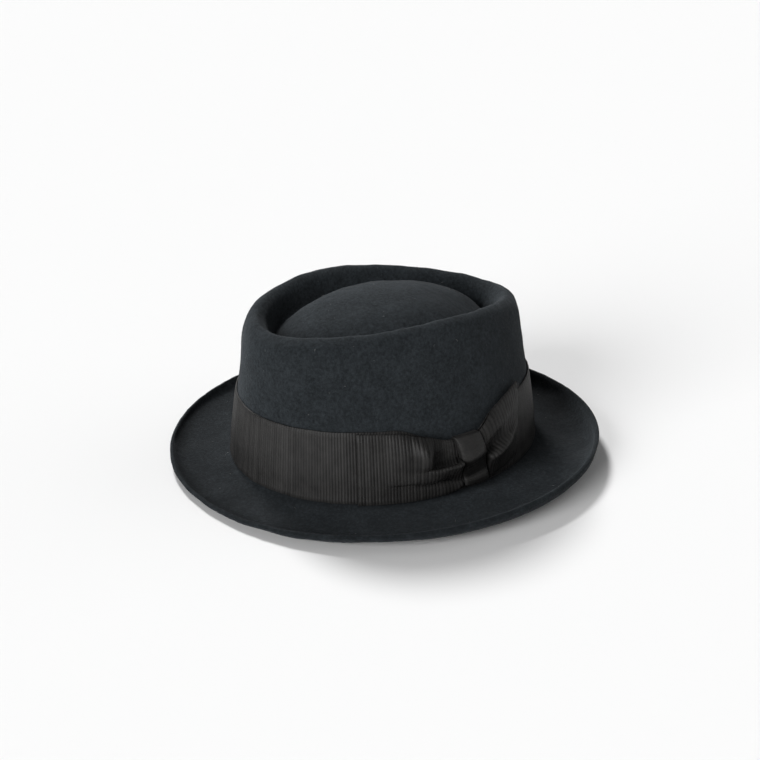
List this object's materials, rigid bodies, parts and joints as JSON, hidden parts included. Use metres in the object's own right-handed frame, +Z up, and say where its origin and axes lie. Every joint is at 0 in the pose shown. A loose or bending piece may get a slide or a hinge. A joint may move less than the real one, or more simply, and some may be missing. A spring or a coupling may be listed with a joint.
{
  "type": "porkpie hat",
  "caption": "Narrow-brimmed felt hat with a flat telescoped crown, a ribbon band and a flat side bow.",
  "frame": {"origin": "middle of the hat's outline in plan, on the surface that it rests on", "axes": "+Z up through the crown, -Y to the front of the hat, +X to the wearer's left, where the bow is"},
  "size_m": [0.2674, 0.272, 0.106],
  "materials": {
    "felt": "matte black wool felt with a short nap",
    "ribbon": "black ribbed grosgrain with a soft sheen"
  },
  "bodies": {
    "root": {"felt_body": "felt", "hat_band": "ribbon", "bow_strip": "ribbon", "bow_knot": "ribbon"}
  },
  "joints": []
}
